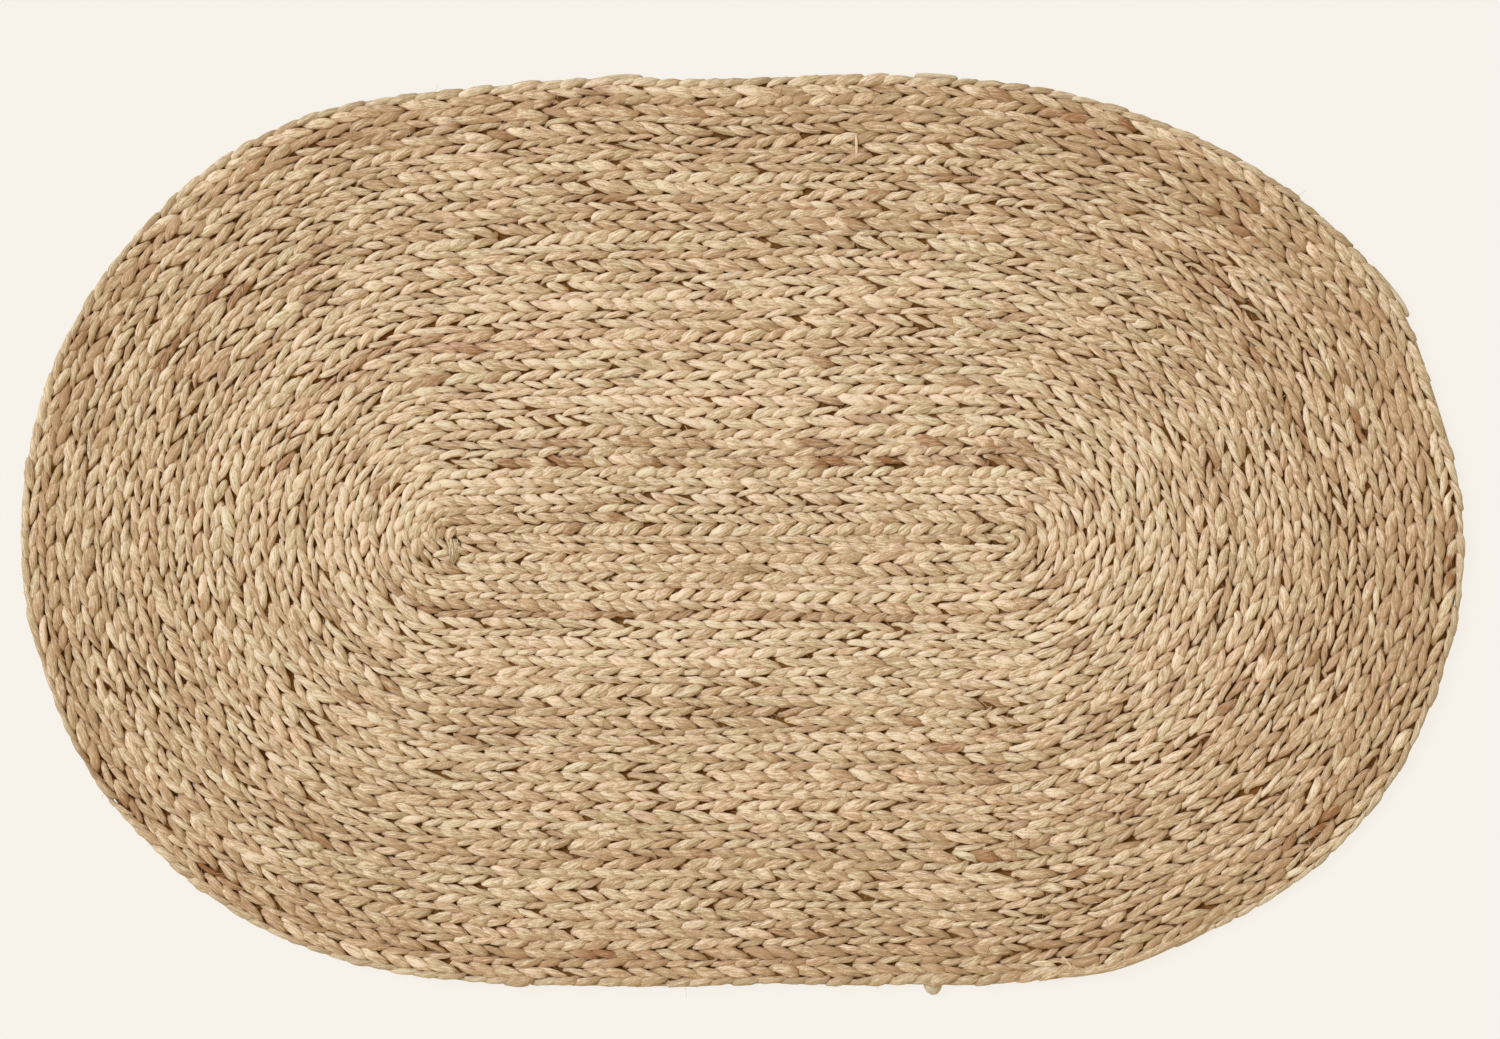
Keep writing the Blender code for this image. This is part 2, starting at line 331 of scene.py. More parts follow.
SEAM_KNOTS = 26  # knots of the seams' waver in one turn
SEAM_WAVER = 0.15  # its spread, in plait widths
SEAM_KEPT = 0.78  # how much of its inner neighbour's waver a turn takes over
SEAM_OWN = 0.62  # how much it adds
SEAM_BLEND = (0.22, 0.56, 0.22)  # weights of the knot before, the knot itself and the knot after
SEAM_FADE_IN = 2  # turns over which the waver sets in
SEAM_FADE_OUT = 2.5  # turns over which it dies away again


def seam_waver():
    """How far the seams stray from even spacing, in plait widths, at SEAM_KNOTS places in each turn.

    Each turn beds against the one inside it, so it takes over most of that turn's waver and adds its own."""
    rng = np.random.default_rng(SEED)
    turns = FULL_TURNS + 3
    own = rng.normal(size=(turns, SEAM_KNOTS))
    waver = np.zeros((turns, SEAM_KNOTS))
    for turn in range(1, turns):
        waver[turn] = SEAM_KEPT * waver[turn - 1] + SEAM_OWN * own[turn]
    flat = np.convolve(waver.ravel(), SEAM_BLEND, mode="same")
    turn = np.arange(flat.size) / SEAM_KNOTS
    fade = np.clip(turn / SEAM_FADE_IN, 0, 1) * np.clip((LAST_TURN - turn) / SEAM_FADE_OUT, 0, 1)
    return flat * fade * SEAM_WAVER


WAVER = seam_waver()


def plait_share(turn):
    """How much of its full width the plait has: all of it, until it thins out in the last end bend."""
    bend = 4 * (turn - FULL_TURNS) - 1
    return np.clip((1 - bend) / (1 - TAPER_START), 0, 1)


def seam_stray(turn):
    """How far the seams inside and outside the plait stray, in plait widths."""
    knots = np.arange(WAVER.size) / SEAM_KNOTS
    return np.interp(turn, knots, WAVER), np.interp(turn + 1, knots, WAVER)


def coil_place(turn, across, stray=0.0):
    """Plan position of a point of the coil.

    turn counts the turns from the start, four equal parts of each being the back, right, front and left.
    across goes from 0 at the plait's inner seam to 1 at its outer one. Straights are offset from the core
    line, the right end's bends are arcs about the core's right end, and the left end's are arcs about a point
    half a plait behind its left end. stray moves the plait's outer edge out."""
    inner = np.maximum(np.floor(turn), 0)
    way = 4 * (turn - inner)
    share = plait_share(turn)
    seam_in, seam_out = seam_stray(turn)
    turns_out = inner + seam_in + across * share * (1 + seam_out - seam_in)
    width = mean_width(way)
    reach = turns_out * width + across * stray
    right = CORE_LENGTH / 2
    side = np.where(way <= 1, 1, -1)
    along = np.where(way <= 1, way, 3 - way)
    x = -right + along * CORE_LENGTH
    y = side * reach

    round_right = (way > 1) & (way < 2)
    angle = (way - 1) * math.pi
    x = np.where(round_right, right + reach * np.sin(angle), x)
    y = np.where(round_right, reach * np.cos(angle), y)

    round_left = way > 3
    angle = (way - 3) * math.pi
    reach = reach + width / 2
    x = np.where(round_left, -right - reach * np.sin(angle), x)
    y = np.where(round_left, PLAIT_WIDTH / 2 - reach * np.cos(angle), y)
    return np.stack([x, y], axis=-1)


def coil_middle():
    """Where the middle of the solid's box lies in the coil's own plan, so that both share one place."""
    turn = np.linspace(LAST_TURN - 1, LAST_TURN, RIM_SAMPLES)[:-1]
    rim = coil_place(turn, 1.0)
    cad = np.array([(a + b) / 2 for a, b in zip(CAD_LOW, CAD_HIGH)])
    return (rim.min(axis=0) + rim.max(axis=0)) / 2 - cad[:2]


MIDDLE = coil_middle()


def mat_place(turn, across):
    """Plan position of a point of the plait in the mat: the coil's, with EDGE_STRAY on the outermost turn."""
    on_rim = turn >= LAST_TURN - 1
    stray = np.where(on_rim, round_mat(EDGE_STRAY, turn) * MM, 0.0)
    return coil_place(turn, across, stray) - MIDDLE


def coil_length():
    """Turn against length run, along the plait's middle: two arrays to look one up from the other."""
    turn = np.linspace(PLAIT_START, LAST_TURN, COIL_SAMPLES)
    steps = np.diff(coil_place(turn, 0.5), axis=0)
    length = np.concatenate([[0], np.cumsum(np.linalg.norm(steps, axis=1))])
    return turn, length


COIL_TURN, COIL_RUN = coil_length()


# ---- Meshes ----
def ring_angles(around):
    """Evenly spaced places round a tube, in radians."""
    return 2 * math.pi * np.arange(around) / around


def tube_points(path, wide, high, angle, boxy=1.0):
    """Points of oval rings carried along paths.

    path is (..., rings, 3) and angle says where the points lie round a ring, counted from the path's left.
    Each ring is an ellipse with half widths wide, level and square to the path, and high, square to both.
    With boxy below 1 the cosine and sine are raised to that power, which fills the ellipse's corners."""
    tangent = np.gradient(path, axis=-2)
    tangent /= np.linalg.norm(tangent, axis=-1, keepdims=True)
    side = np.cross((0.0, 0.0, 1.0), tangent)
    side /= np.linalg.norm(side, axis=-1, keepdims=True)
    up = np.cross(tangent, side)
    cosine, sine = np.cos(angle), np.sin(angle)
    flat = np.sign(cosine) * np.abs(cosine) ** boxy
    tall = np.sign(sine) * np.abs(sine) ** boxy
    level = side[..., None, :] * flat[:, None] * np.asarray(wide)[..., None, None]
    upright = up[..., None, :] * tall[:, None] * np.asarray(high)[..., None, None]
    return path[..., None, :] + level + upright


def tube_faces(tubes, rings, around):
    """Corner indices of closed tubes: quads between rings, and one flat face over each end."""
    here = np.arange(around)
    after = (here + 1) % around
    ring = np.arange(rings - 1)[:, None] * around
    one = np.stack([ring + here, ring + after, ring + around + after, ring + around + here], axis=-1)
    shift = (np.arange(tubes) * rings * around)[:, None, None]
    quads = (one.reshape(1, -1, 4) + shift).reshape(-1, 4)
    starts = here[::-1] + shift[:, :, 0]
    ends = here + (rings - 1) * around + shift[:, :, 0]
    return quads, np.concatenate([starts, ends])


def add_mesh(name, points, face_sets, attributes=()):
    """A smooth-shaded object from an array of points and arrays of faces, each with one corner count."""
    data = bpy.data.meshes.new(name)
    corners = np.concatenate([faces.ravel() for faces in face_sets]).astype(np.int32)
    counts = np.concatenate([np.full(len(faces), faces.shape[1]) for faces in face_sets])
    first = np.concatenate([[0], np.cumsum(counts)[:-1]]).astype(np.int32)
    data.vertices.add(len(points))
    data.vertices.foreach_set("co", points.astype(np.float32).ravel())
    data.loops.add(len(corners))
    data.loops.foreach_set("vertex_index", corners)
    data.polygons.add(len(first))
    data.polygons.foreach_set("loop_start", first)
    data.update(calc_edges=True)
    data.validate()
    data.shade_smooth()
    for label, values in attributes:
        if values.ndim == 2:
            layer = data.attributes.new(label, "FLOAT_VECTOR", "POINT")
            layer.data.foreach_set("vector", values.astype(np.float32).ravel())
        else:
            layer = data.attributes.new(label, "FLOAT", "POINT")
            layer.data.foreach_set("value", values.astype(np.float32))
    thing = bpy.data.objects.new(name, data)
    bpy.context.scene.collection.objects.link(thing)
    return thing


FIBRE_TWIST = 60.0  # turn of the fibres round a strand, in radians per metre


def fibre_place(run, angle, radius, shift=0.0, twist=FIBRE_TWIST):
    """Where the points of tubes lie among the fibres, in millimetres: two places round it and one along it.

    The fibres turn about the tube's middle as they run on, and shift gives each tube fibres of its own."""
    twisted = angle + twist * run[..., None]
    along = run[..., None] / MM + shift
    return np.stack(np.broadcast_arrays(np.cos(twisted) * radius, np.sin(twisted) * radius, along), axis=-1)


def add_tubes(name, points, fibre, tone, brown=0.0, cast=0.0, grey=0.0, crease_shade=0.0):
    """Closed tubes from points, (tubes, rings, around, 3), with the attributes that jute_material reads.

    Each attribute but fibre is one value for all points, or an array that spreads over them."""
    tones = {"tone": tone, "brown": brown, "cast": cast, "grey": grey, "crease_shade": crease_shade}
    spread = [(label, np.broadcast_to(values, points.shape[:3]).ravel()) for label, values in tones.items()]
    faces = tube_faces(*points.shape[:3])
    return add_mesh(name, points.reshape(-1, 3), faces, [("fibre", fibre.reshape(-1, 3)), *spread])


def finish_piece(thing, material):
    """Gives a piece its material and slot and lets it stand for the solid."""
    thing.data.materials.append(material)
    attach(thing, "root")
    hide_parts(NODE)


# ---- The plait ----
# Half a lay of one strand: it comes up at the plait's middle, lies on top as a long lobe on its way out to
# one edge, turns down there and goes back below. The next half does the same on the other side.
LOBE = (
    # part of a lay run, plait widths out from its middle in straights and in bends, rise, width
    (0.000, 0.000, 0.000, -0.10, 0.62),
    (0.055, 0.102, 0.114, 0.54, 0.95),
    (0.125, 0.182, 0.198, 0.94, 1.12),
    (0.200, 0.244, 0.250, 1.04, 1.26),
    (0.275, 0.299, 0.294, 0.97, 1.22),
    (0.345, 0.352, 0.341, 0.77, 1.06),
    (0.410, 0.392, 0.386, 0.27, 0.93),
    (0.460, 0.250, 0.250, -0.86, 0.76),
)
BENDING = (
    # way, share of the bends' shape: the plait is drawn tight round the ends
    (0, 0.55), (0.3, 0), (0.8, 0), (1.15, 0.8), (1.5, 1), (1.85, 0.8),
    (2.2, 0), (2.8, 0), (3.15, 0.8), (3.5, 1), (3.85, 0.8),
)
SLACK = (
    # way, width of the strands there as a share of their mean: full on the straights, slim at the right end
    (0.1, 1.02), (0.9, 1.02), (1.2, 0.97), (1.8, 0.97), (2.1, 1.035), (2.9, 1.035), (3.2, 1), (3.8, 1),
)
RIM_TUCK = 0.87  # how far out the rim's lobes reach, as a share of the others
AROUND = 8  # points round a strand
STRAND_RING = (-25, 12, 48, 90, 132, 168, 205, 270)  # where they lie, in degrees: most of them on top
STRANDS = 3
STRAND_BOXY = 0.62  # how square a strand's section is, from 1 for an oval down
STRAND_SHIFT = 977.0  # how far apart the strands are in the fibres' pattern, in millimetres
UNDERSIDE = 0.0003  # lowest height of a strand
# Points that lie in a crease are painted with shade by the material.
CREASE_SHADE_BELOW = 0.1  # points round a strand whose sine is less than this lie in a crease

# How much one lobe differs from another.
LOBE_SPREAD = {
    "length": 0.042,  # in lays
    "reach": 0.06,  # as a share of its reach
    "lean": 0.022,  # in plait widths
    "lift": 0.0003,
    "stoutness": 0.14,  # as a share of its width
    "tone": 0.42,
    "bark": 1.0,  # only the lobes past BARK_FROM are brown
    "depth": 0.3,  # of the brown in a stretch of BROWNED
    "cast": 0.5,
}
# How a strand changes slowly along its length.
DRIFT = {
    # measure: spread, half lays from knot to knot
    "lay": (0.03, 1.5),
    "stoutness": (0.07, 28),
    "tone": (0.30, 8.4),
    "lobe_tone": (0.25, 2.2),
    "cast": (0.5, 18),
}
DENTS = (0.011, 0.00012, 0.06)  # each ring's own stray across, in plait widths, in height and in width
COMMON_STEPS = 4  # steps in a lay of what all three strands do together
WAVER_LAYS = 3  # lays between the knots of their tightening and slackening
LAY_WAVER = 0.16  # spread of that, in lays
ROLL_LAYS = 2.5  # lays between the knots of the plait's roll
ROLL_WIDENS = 1.5  # how much wider a roll of one plait width would make the lobes of one side
LOBE_MIDDLE = 0.22  # the part of a lay at which a lobe doesn't lean
LEAN_RUN = 0.2  # the lean is full this part of a lay further on
STOUT_LIMITS = (0.70, 1.28)  # slimmest and stoutest lobe, as shares of the mean width
BARK_FROM = 1.95  # lobes past this value of their bark are brown
BARK_GAIN = 1.1  # how fast the brown then deepens
BARK_MOST = 0.8
DEPTH_MEAN = 0.95  # depth of the brown in a stretch of BROWNED, and its limits
DEPTH_LIMITS = (0.3, 1.2)
TIP_SHARE = 0.25  # width of the strands at the plait's thinned end, as a share of their full one
TIP_HEIGHT = 0.35  # share of the strands' height that doesn't fall with that width
TIP_RINGS = 5  # rings over which a strand narrows at its two ends
TIP_WIDTH = 0.15  # its width there, as a share
FLAT_HEIGHT = 0.5  # height of a strand where it has no width, as a share of its full one
TONE_PER_STEP = 0.085  # tone that darkens a strand by one step of sRGB
TONE_CONTRAST = 0.95  # how far tones differ in the first turn
TONE_GROWTH = 0.4  # and how much more in the last
GREY_FROM = 0.6  # place across the rim's plait where its greyed edge of painted shade begins
GREY_GAIN = 1.8  # how fast it greys from there
# Painted shade: the greyed edge is darkened in tone so that the rim doesn't look lit.
GREY_SHADE_TONE = 1.6  # how much darker the grey is in tone


def lay_lengths():
    """How many lays have been run at each turn of COIL_TURN, with the lay's length there as LAYS has it."""
    lay = np.interp(COIL_TURN, *np.array(LAYS).T) * MM
    return np.concatenate([[0], np.cumsum(np.diff(COIL_RUN) / lay[1:])])


COIL_LAYS = lay_lengths()


BROWN_EDGE = 6  # how steeply a brown stretch sets in, from a tenth of its length before its start
BROWN_ASIDE = 0.02  # how far off the plait's middle line it begins, in plait widths


def browned(run, across, lobe_share):
    """How brown a strand is, from BROWNED: each stretch is soft at both ends and varies from lobe to lobe."""
    brown = np.zeros(len(run))
    for start, side, length, depth in BROWNED:
        begin = np.interp(start, COIL_TURN, COIL_RUN)
        inside = (run - begin) / (length * MM)
        stretch = np.clip(BROWN_EDGE * np.minimum(inside + 0.1, 1.1 - inside), 0, 1)
        on_side = side * (across - 0.5) > BROWN_ASIDE
        brown = np.maximum(brown, depth * stretch * on_side * lobe_share)
    return brown


HOLE_EDGE = 0.0024  # how much wider the bell curve is than the hole's radius
HOLE_MIDDLE = 0.0004  # nearer its middle than this they aren't pushed in full
HOLE_SLIMS = 0.34  # share of its width that a strand loses at a hole


def parted(plan, settings):
    """How far the strands give way round the holes in PARTED, and how much narrower they are there.

    Both fall off with the distance from a hole's middle as a bell curve does. The first is a move away from
    the middle, in metres, the second a factor for the width."""
    holes = np.array(PARTED) * MM
    away = plan[:, None, :] - holes[:, :2]
    distance = np.linalg.norm(away, axis=-1)
    near = np.exp(-(distance / (holes[:, 2] + HOLE_EDGE)) ** 2)
    strength = near * holes[:, 2] * settings.parting
    push = away / np.maximum(distance, HOLE_MIDDLE)[..., None] * strength[..., None]
    return push.sum(axis=1), 1 - HOLE_SLIMS * near.max(axis=1)


def strand_shape(strand, settings):
    """Path, half width, half height and tones of one strand.

    Each half lay is LOBE's, to the plait's two sides in turn, and the other two strands follow a third of a
    lay apart. On top of that each lobe has its own length, reach and thickness, the whole plait rolls a
    little to one side and back, which makes one side's lobes wider, and all strands tighten and slacken
    together."""
    rng = np.random.default_rng(SEED + 10 + strand)
    lobe_run, out_straight, out_bend, lobe_rise, lobe_width = np.array(LOBE).T
    rings = len(LOBE)
    half_lays = int(2 * COIL_LAYS[-1]) + 2
    half, place = np.divmod(np.arange(half_lays * rings), rings)
    laid = half / 2 + lobe_run[place] + strand / STRANDS - 1

    def per_lobe(measure):
        """One random value for each lobe, given to all its rings."""
        return rng.normal(size=half_lays)[half] * LOBE_SPREAD[measure]

    def drift(measure):
        """A random change that runs on smoothly from lobe to lobe."""
        spread, spacing = DRIFT[measure]
        return spread * eased_noise(rng, len(laid), spacing * rings)

    common = np.arange(-2 * COMMON_STEPS, int(COIL_LAYS[-1] + 3) * COMMON_STEPS) / COMMON_STEPS
    waver = eased_noise(np.random.default_rng(SEED + 5), len(common), WAVER_LAYS * COMMON_STEPS)
    rolled = eased_noise(np.random.default_rng(SEED + 6), len(common), ROLL_LAYS * COMMON_STEPS)
    roll = settings.roll * np.interp(laid, common, rolled) + settings.slant
    laid = laid + LAY_WAVER * np.interp(laid, common, waver)
    lengthen = per_lobe("length") * np.sin(2 * math.pi * lobe_run[place])
    laid = laid + lengthen + drift("lay")
    reach = 1 + per_lobe("reach")
    lean = per_lobe("lean") * (lobe_run[place] - LOBE_MIDDLE) / LEAN_RUN
    lifted = per_lobe("lift")
    stout = 1 + drift("stoutness") + per_lobe("stoutness")
    dents = rng.normal(size=(3, len(laid)))
    tone = drift("tone") + drift("lobe_tone")
    tone = tone + per_lobe("tone")
    brown = np.clip(BARK_GAIN * (np.abs(per_lobe("bark")) - BARK_FROM), 0, BARK_MOST)
    depth = np.clip(DEPTH_MEAN + per_lobe("depth"), *DEPTH_LIMITS)
    cast = drift("cast") + per_lobe("cast")

    kept = (laid >= 0) & (laid <= COIL_LAYS[-1])
    dents = dents[:, kept]
    lobes = (half, place, laid, roll, reach, lean, lifted, stout, tone, brown, depth, cast)
    half, place, laid, roll, reach, lean, lifted, stout, tone, brown, depth, cast = (a[kept] for a in lobes)
    side = 1 - 2 * (half % 2)
    run = np.interp(laid, COIL_LAYS, COIL_RUN)
    turn = np.interp(run, COIL_RUN, COIL_TURN)
    share = TIP_SHARE + (1 - TIP_SHARE) * plait_share(turn)

    on_rim = (turn > LAST_TURN - 1) & (side > 0)
    bending = round_mat(BENDING, turn)
    out = out_straight[place] * (1 - bending) + out_bend[place] * bending
    out = out * np.where(on_rim, RIM_TUCK, 1)
    rolled_over = roll * (1 - (out / out.max()) ** 2)
    across = 0.5 + side * (out * reach + lean) + rolled_over + DENTS[0] * dents[0]
    middle = settings.lift + settings.strand_height / 2
    height = middle + settings.lift * lobe_rise[place] + lifted + DENTS[1] * dents[1]
    height = height * (TIP_HEIGHT + (1 - TIP_HEIGHT) * share)

    stout = stout * (1 - ROLL_WIDENS * roll * side)
    stout = np.clip(stout, *STOUT_LIMITS) * (1 + DENTS[2] * dents[2])
    swell = lobe_width[place]
    here = np.arange(len(laid))
    ends = np.clip(np.minimum(here, here[::-1]) / TIP_RINGS, TIP_WIDTH, 1)
    seam_in, seam_out = seam_stray(turn)
    room = (1 + seam_out - seam_in) * mean_width(4 * (turn % 1)) / PLAIT_WIDTH
    room = room * round_mat(SLACK, turn)
    wide = settings.strand_width / 2 * swell * stout * room * share * ends
    tall = FLAT_HEIGHT + (1 - FLAT_HEIGHT) * swell
    high = settings.strand_height / 2 * tall * np.sqrt(stout) * share * ends

    plan = mat_place(turn, across)
    push, slimmer = parted(plan, settings)
    path = np.column_stack([plan + push, height])
    wide = wide * slimmer

    # Paler stretches of jute from HANKS, plus the painted light that makes the mat's four parts paler or
    # darker.
    paler = np.interp(turn, *np.array(HANKS).T) + round_mat(LIGHT_FALL_OFF, turn)
    tone = tone * (TONE_CONTRAST + TONE_GROWTH * turn / LAST_TURN) - paler * TONE_PER_STEP
    brown = np.maximum(brown, browned(run, across, depth))
    # Painted shade: the rim's outer side greyer and darker.
    grey = np.clip(GREY_GAIN * (across - GREY_FROM), 0, 1) * on_rim
    tone = tone + GREY_SHADE_TONE * grey
    return path, wide, high, run, tone, brown, cast, grey


SECTIONS = 2  # pieces that each strand is made in


def strand_name(strand, number):
    """Name of a strand's piece."""
    return f"strand_{'abc'[strand]}_{number + 1}"


def strand_pieces(strand, settings):
    """One strand as closed tubes, one for each section of the coil."""
    path, wide, high, run, *tones = strand_shape(strand, settings)
    angle = np.radians(STRAND_RING)
    rings = tube_points(path, wide, high, angle, boxy=STRAND_BOXY)
    rings[..., 2] = np.maximum(rings[..., 2], UNDERSIDE)
    fibre = fibre_place(run, angle, settings.strand_width / 2 / MM, STRAND_SHIFT * strand)
    # The strand's sides and underside, which are painted with shade.
    crease_shade = np.sin(angle) < CREASE_SHADE_BELOW
    cuts = np.linspace(0, len(path) - 1, SECTIONS + 1).astype(int)
    pieces = []
    for number, (first, last) in enumerate(zip(cuts[:-1], cuts[1:])):
        part = slice(first, last + 1)
        tone, brown, cast, grey = (values[part, None] for values in tones)
        name = strand_name(strand, number)
        pieces.append(add_tubes(name, rings[None, part], fibre[part], tone, brown, cast, grey, crease_shade))
    return pieces


# ---- The ground ----
GROUND_STEPS = 110  # steps of the ground along one turn
GROUND_HEIGHT = 0.0034  # its height at the seams
GROUND_RIDGE = 0.0010  # how much higher it is in the middle
GROUND_LANES = 5  # points across the plait
GROUND_INSET = 0.22  # share of the plait's width that it stops short of the rim


def shade_ground_piece():
    """A sheet that closes the plait's gaps and follows the coil, its dark brown a painted shade in place of
    the shaded lower strands seen through them.

    It is a grid of coil steps by places across the plait, raised between the seams by a sine."""
    count = int(GROUND_STEPS * LAST_TURN)
    turn = np.linspace(GROUND_START, LAST_TURN, count + 1)
    across = np.linspace(0, 1, GROUND_LANES)
    grid_turn, grid_across = np.meshgrid(turn, across, indexing="ij")
    inset = np.where(grid_turn >= LAST_TURN - 1, 1 - GROUND_INSET * grid_across, 1.0)
    plan = mat_place(grid_turn, grid_across * inset)
    height = GROUND_HEIGHT + GROUND_RIDGE * np.sin(math.pi * grid_across)
    points = np.dstack([plan, height]).reshape(-1, 3)
    corner = np.arange(count)[:, None] * GROUND_LANES + np.arange(GROUND_LANES - 1)
    ahead = corner + GROUND_LANES
    faces = np.stack([corner, ahead, ahead + 1, corner + 1], axis=-1)
    return add_mesh("ground", points, [faces.reshape(-1, 4)[:, ::-1]])


# ---- The rim ----
RIM_STEPS = 900
RIM_START = LAST_TURN - 1.02
RIM_END = LAST_TURN - 0.036
RIM_ACROSS = 0.895  # the rim's middle line, as a share of the plait's width
RIM_WANDER = 0.012  # how far that line strays, in plait widths
RIM_WIDE = 0.0011
RIM_HIGH = 0.0021
RIM_HEIGHT = 0.0033
RIM_TIP = (0.4, 12, 0.1)  # least share where the plait thins out, and a tip's steps and least share
RIM_UNEVEN = 0.08  # spread of its thickness
RIM_FIBRE = 2.0  # radius of the rim in the fibres' pattern, in millimetres
# The rim's dark mean tone and its grey are painted shade, which keeps its outer side from looking lit.
RIM_TONES = (1.7, 0.6, 0.8, 0.9)  # mean and spread of its tone, spread of its cast, and its grey


def rim_piece():
    """The strands' turned edges on the outermost turn, pressed together into one even line.

    An oval section carried once round the coil, a little thicker and thinner along its way."""
    rng = np.random.default_rng(SEED + 60)
    turn = np.linspace(RIM_START, RIM_END, RIM_STEPS)
    least, tip_steps, tip_share = RIM_TIP
    plan = mat_place(turn, RIM_ACROSS + RIM_WANDER * eased_noise(rng, RIM_STEPS, 9))
    share = np.clip(plait_share(turn), least, 1)
    here = np.arange(RIM_STEPS)
    tip = np.clip(np.minimum(here, here[::-1]) / tip_steps, tip_share, 1)
    path = np.column_stack([plan, RIM_HEIGHT * (least + (1 - least) * share)])
    stout = share * tip * (1 + RIM_UNEVEN * eased_noise(rng, RIM_STEPS, 5))
    angle = ring_angles(AROUND)
    points = tube_points(path, RIM_WIDE * stout, RIM_HIGH * stout, angle)
    run = np.concatenate([[0], np.cumsum(np.linalg.norm(np.diff(path, axis=0), axis=1))])
    mean, spread, cast_spread, grey = RIM_TONES
    tone = mean + spread * eased_noise(rng, RIM_STEPS, 20)
    cast = cast_spread * eased_noise(rng, RIM_STEPS, 30)
    fibre = fibre_place(run, angle, RIM_FIBRE)
    return add_tubes("rim", points[None], fibre, tone[:, None], cast=cast[:, None], grey=grey)


# ---- Loose ends ----
END_RINGS = 22
END_AROUND = 10
END_BOXY = 0.9
END_TIP = (0.9, 0.06)  # how fast a tip rounds, and its least share of the half width
END_UNEVEN = (0.07, 0.3)  # how far the width wanders, and in what steps
END_SHIFT = 61.0  # how far apart these strands are in the fibres' pattern, in millimetres


def end_path(points):
    """A smooth path of END_RINGS points through given ones: a cubic through each gap, with the slopes
    of its neighbours."""
    points = np.array(points) * MM
    slopes = np.gradient(points, axis=0)
    place = np.linspace(0, len(points) - 1, END_RINGS)
    low = np.minimum(place.astype(int), len(points) - 2)
    return cubic((place - low)[:, None], points[low], points[low + 1], slopes[low], slopes[low + 1])


def loose_end_piece():
    """The strands of LOOSE_ENDS as closed tubes, their half widths rounded at both tips as a circle is."""
    wide, high, tone, grey = (np.array(column)[:, None] for column in list(zip(*LOOSE_ENDS))[:4])
    paths = np.stack([end_path(row[4]) for row in LOOSE_ENDS])
    rng = np.random.default_rng(SEED + 40)
    steps = np.linalg.norm(np.diff(paths, axis=1), axis=-1)
    run = np.concatenate([np.zeros((len(paths), 1)), np.cumsum(steps, axis=1)], axis=1)
    quickness, least = END_TIP
    tip = np.clip(np.minimum(run, run[:, -1:] - run) / (wide * MM) * quickness, least, 1)
    rounded = np.sqrt(1 - (1 - tip) ** 2)
    wander, step = END_UNEVEN
    uneven = 1 + wander * np.cumsum(rng.normal(size=run.shape) * step, axis=1)
    angle = ring_angles(END_AROUND)
    points = tube_points(paths, wide * MM * rounded * uneven, high * MM * rounded, angle, boxy=END_BOXY)
    shift = END_SHIFT * np.arange(len(paths))[:, None, None]
    fibre = fibre_place(run, angle, wide[..., None], shift)
    return add_tubes("loose_ends", points, fibre, tone[..., None], grey=grey[..., None])


# ---- The start ----
LOBE_RINGS = 12
LOBE_RISE = 0.0016  # how much higher a start lobe's middle line is than its tips
LOBE_HIGH = 0.0019  # its half height
LOBE_BOXY = 0.7
LOBE_UNEVEN = 0.05  # spread of its width from ring to ring
LOBE_FIBRE = 2.0  # radius of a lobe in the fibres' pattern, in millimetres
LOBE_SHIFT = 83.0  # how far apart the lobes are in it, in millimetres


def start_lobes_piece():
    """START_LOBES as closed tubes: a curve through each lobe's three places, half widths that follow the
    0.6th power of a sine from tip to tip, and a middle line that rises between the tips by a sine."""
    wide, level, tone = (np.array(column)[:, None] for column in list(zip(*START_LOBES))[:3])
    rng = np.random.default_rng(SEED + 70)
    rows = np.array([row[3] for row in START_LOBES]) * MM
    first, middle, last = (rows[:, n, None, :] for n in range(3))
    t = np.linspace(0, 1, LOBE_RINGS)
    curve = t[:, None]
    bulge = 2 * middle - (first + last) / 2
    plan = (1 - curve) ** 2 * first + 2 * curve * (1 - curve) * bulge + curve ** 2 * last
    rise = np.sin(math.pi * t)
    height = level * MM + LOBE_RISE * (rise - 0.75)
    path = np.concatenate([plan, height[..., None]], axis=-1)
    swell = np.clip(rise, 0.03, 1) ** 0.6
    wide = wide * MM * swell * (1 + LOBE_UNEVEN * rng.normal(size=plan.shape[:2]))
    angle = np.radians(STRAND_RING)
    points = tube_points(path, wide, np.broadcast_to(LOBE_HIGH * swell, wide.shape), angle, boxy=LOBE_BOXY)
    run = t * np.linalg.norm(last - first, axis=-1)
    fibre = fibre_place(run, angle, LOBE_FIBRE, LOBE_SHIFT * np.arange(len(rows))[:, None, None])
    cast = rng.normal(0, LOBE_SPREAD["cast"], len(rows))[:, None, None]
    # The lobes' sides and undersides, which are painted with shade.
    crease_shade = np.sin(angle) < CREASE_SHADE_BELOW
    return add_tubes("start_lobes", points, fibre, tone[..., None], cast=cast, crease_shade=crease_shade)


HAIR_SIDES = 3
HAIR_RUN = 0.012  # length of the fibres' pattern along one hair
HAIR_FIBRE = 0.12  # radius of a hair in it, in millimetres
HAIR_SHIFT = 37.0  # how far apart the hairs are in it, in millimetres
HAIR_CAST = -4.0  # cast of a wholly grey hair: the lower, the greener


